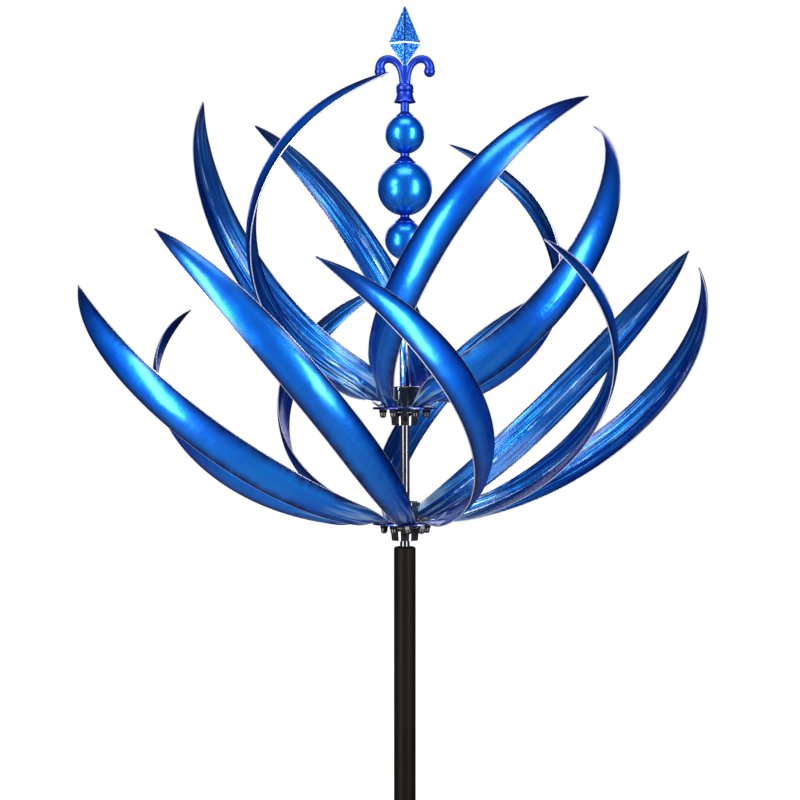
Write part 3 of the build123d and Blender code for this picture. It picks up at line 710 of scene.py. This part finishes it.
BLUE = blue_lacquer(
    "blue_lacquer",
    deep=(0.0005, 0.050, 0.56),
    azure=(0.012, 0.38, 0.86),
    roughness=0.29,
    swell_height=0.0012,
    shine_share=0.38,
    clear_coat=0.90,
)
TURNED_BLUE = blue_lacquer(
    "turned_blue_lacquer",
    deep=(0.0005, 0.055, 0.54),
    azure=(0.010, 0.39, 0.83),
    roughness=0.28,
    swell_height=0.0003,
    shine_share=0.40,
    clear_coat=0.90,
)
CAST_BLUE = blue_lacquer(
    "cast_blue_lacquer",
    deep=(0.008, 0.020, 0.30),
    azure=(0.030, 0.100, 0.55),
    roughness=0.34,
    swell_height=0.0006,
    shine_share=0.35,
    clear_coat=0.35,
)
NODE_MATERIALS = {
    "spindle_sleeve": sleeve_painted_reflections(),
    "finial_spear": glitter_lacquer(),
    "upper_plate": plate_lacquer(),
    "lower_plate": plate_lacquer(),
}
for turned_node in ("ball_bottom", "ball_middle", "ball_top"):
    NODE_MATERIALS[turned_node] = TURNED_BLUE
for cast_node in ("spacer_bottom", "spacer_middle", "spacer_top", "finial_collar", "finial_scrolls"):
    NODE_MATERIALS[cast_node] = CAST_BLUE
SLOT_MATERIALS = {
    "blue_metallic": BLUE,
    "black_gloss": black_enamel(),
    "black_powder_coat": powder_coat(),
    "black_fastener": steel("black_oxide", (0.03, 0.03, 0.032), (0.07, 0.07, 0.075), 0.28),
    "bearing_steel": steel("bearing_steel", (0.50, 0.51, 0.53), (0.66, 0.67, 0.69), 0.16),
    "nylon": nylon(),
}


def paint_cad_nodes():
    """Give every carried-over CAD node its own material, or else that of its record slot."""
    for part in frame["record"]["subparts"]:
        node = frame["nodes"][part["node"]]
        material = NODE_MATERIALS.get(part["node"], SLOT_MATERIALS[part["material_slot"]])
        if not node.material_slots:
            node.data.materials.append(material)
        for place in node.material_slots:
            place.material = material


# ---- studio --------------------------------------------------------------------------------------------
def make_camera():
    """A level camera in front, at the photograph's viewing angle."""
    data = bpy.data.cameras.new("camera")
    data.lens = LENS_MM
    data.sensor_width = SENSOR_MM
    camera = bpy.data.objects.new("camera", data)
    bpy.context.scene.collection.objects.link(camera)
    camera.location = (CAMERA_SIDE, -CAMERA_DISTANCE, UPPER_PLATE_Z + CAMERA_ABOVE_PLATE)
    camera.rotation_euler = (pi / 2, 0, 0)
    bpy.context.scene.camera = camera


def shade_by_direction(tree, cosine, shades):
    """The shade in a direction, by the cosine of its angle to an axis."""
    share = tree.node("MapRange", {"Value": cosine, "From Min": -1}).outputs["Result"]
    return tree.ramp(share, shades)


def make_world():
    """White for the camera, and for everything else a dim room with a broad soft glow in front."""
    world = bpy.data.worlds.new("studio")
    bpy.context.scene.world = world
    tree = Tree(world, "OutputWorld")
    direction = tree.node("TexCoord").outputs["Generated"]
    facing = tree.node("VectorMath", {0: direction, 1: FRONT}, operation="DOT_PRODUCT").outputs["Value"]
    height = tree.node("SeparateXYZ", {"Vector": direction}).outputs["Z"]
    room = shade_by_direction(tree, facing, ROOM_SHADES)
    bounce = shade_by_direction(tree, height, BOUNCE_SHADES)
    glow = tree.node("Background", {"Color": tree.mix(1.0, room, bounce, blend="LIGHTEN")})
    backdrop = tree.node("Background", {"Color": WHITE})
    seen = tree.node("LightPath").outputs["Is Camera Ray"]
    inputs = {"Fac": seen, 1: glow.outputs["Background"], 2: backdrop.outputs["Background"]}
    tree.show(tree.node("MixShader", inputs).outputs["Shader"])


def floor_paint():
    """Pale matt floor that glows, so that it meets the white backdrop without an edge."""
    material, tree = new_material("studio_floor")
    tree.show(tree.shader({
        "Base Color": tree.ramp(tree.noise(scale=3.0, detail=3.0), [(0.3, 0.80), (0.7, 0.83)]),
        "Roughness": 0.9,
        "Emission Color": WHITE,
        "Emission Strength": FLOOR_GLOW,
    }))
    return material


def make_floor():
    """A plain floor just under the prongs, which only the camera and shadows see."""
    size = FLOOR_HALF_SIZE
    corners = [(-size, -size, 0), (size, -size, 0), (size, size, 0), (-size, size, 0)]
    mesh = bpy.data.meshes.new("floor")
    mesh.from_pydata(corners, [], [(0, 1, 2, 3)])
    mesh.materials.append(floor_paint())
    floor = bpy.data.objects.new("floor", mesh)
    floor.location = (0, 0, FLOOR_Z - FLOOR_GAP)
    floor.visible_glossy = False
    floor.visible_diffuse = False
    bpy.context.scene.collection.objects.link(floor)


def area_light(name, place, target, width, height, power):
    """A rectangular softbox that faces the target."""
    data = bpy.data.lights.new(name, "AREA")
    data.shape = "RECTANGLE"
    data.size = width
    data.size_y = height
    data.energy = power
    lamp = bpy.data.objects.new(name, data)
    bpy.context.scene.collection.objects.link(lamp)
    lamp.location = place
    lamp.rotation_euler = (target - place).to_track_quat("-Z", "Y").to_euler()


def make_lights():
    """The softboxes, round a point just above the upper plate."""
    middle = Vector((0, 0, UPPER_PLATE_Z + SOFTBOX_AIM_ABOVE_PLATE))
    for name, azimuth, elevation, distance, width, height, power in SOFTBOXES:
        across = radians(azimuth)
        up = radians(elevation)
        toward = Vector((sin(across) * cos(up), -cos(across) * cos(up), sin(up)))
        area_light(name, middle + toward * distance, middle, width, height, power)


make_camera()
make_world()
make_floor()
make_lights()
paint_cad_nodes()
for rotor in (UPPER, LOWER):
    for index in range(len(rotor["bends"])):
        make_blade(rotor, index)
bpy.context.scene.view_settings.view_transform = "Standard"
